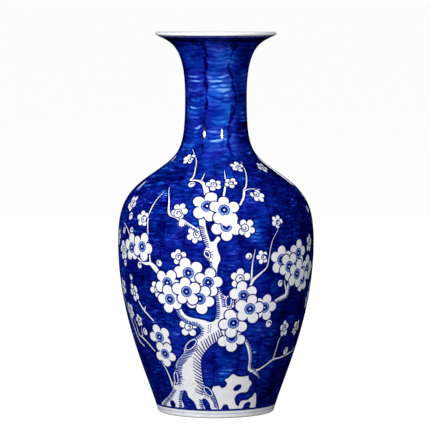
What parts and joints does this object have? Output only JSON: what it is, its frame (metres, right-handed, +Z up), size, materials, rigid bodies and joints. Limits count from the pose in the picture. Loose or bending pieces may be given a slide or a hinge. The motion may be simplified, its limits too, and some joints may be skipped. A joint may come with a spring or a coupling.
{
  "type": "vase",
  "caption": "Tall hollow porcelain vase with a trumpet mouth, narrow neck, round shoulder and tapering body on a low foot ring, for cut flowers or display.",
  "frame": {"origin": "centre of the foot's resting edge, on the surface that the vase stands on", "axes": "+Z up along the vase's axis; the painted tree's trunk faces -Y; +X is to the right of someone who faces the trunk"},
  "size_m": [0.186, 0.186, 0.36],
  "materials": {
    "cobalt_glaze": "gloss",
    "white_glaze": "gloss",
    "bare_porcelain": "satin"
  },
  "bodies": {
    "root": {"foot_ring": "bare_porcelain", "base_disc": "white_glaze", "lower_body": "cobalt_glaze", "upper_body": "cobalt_glaze", "neck": "cobalt_glaze", "mouth_rim": "white_glaze"}
  },
  "joints": []
}
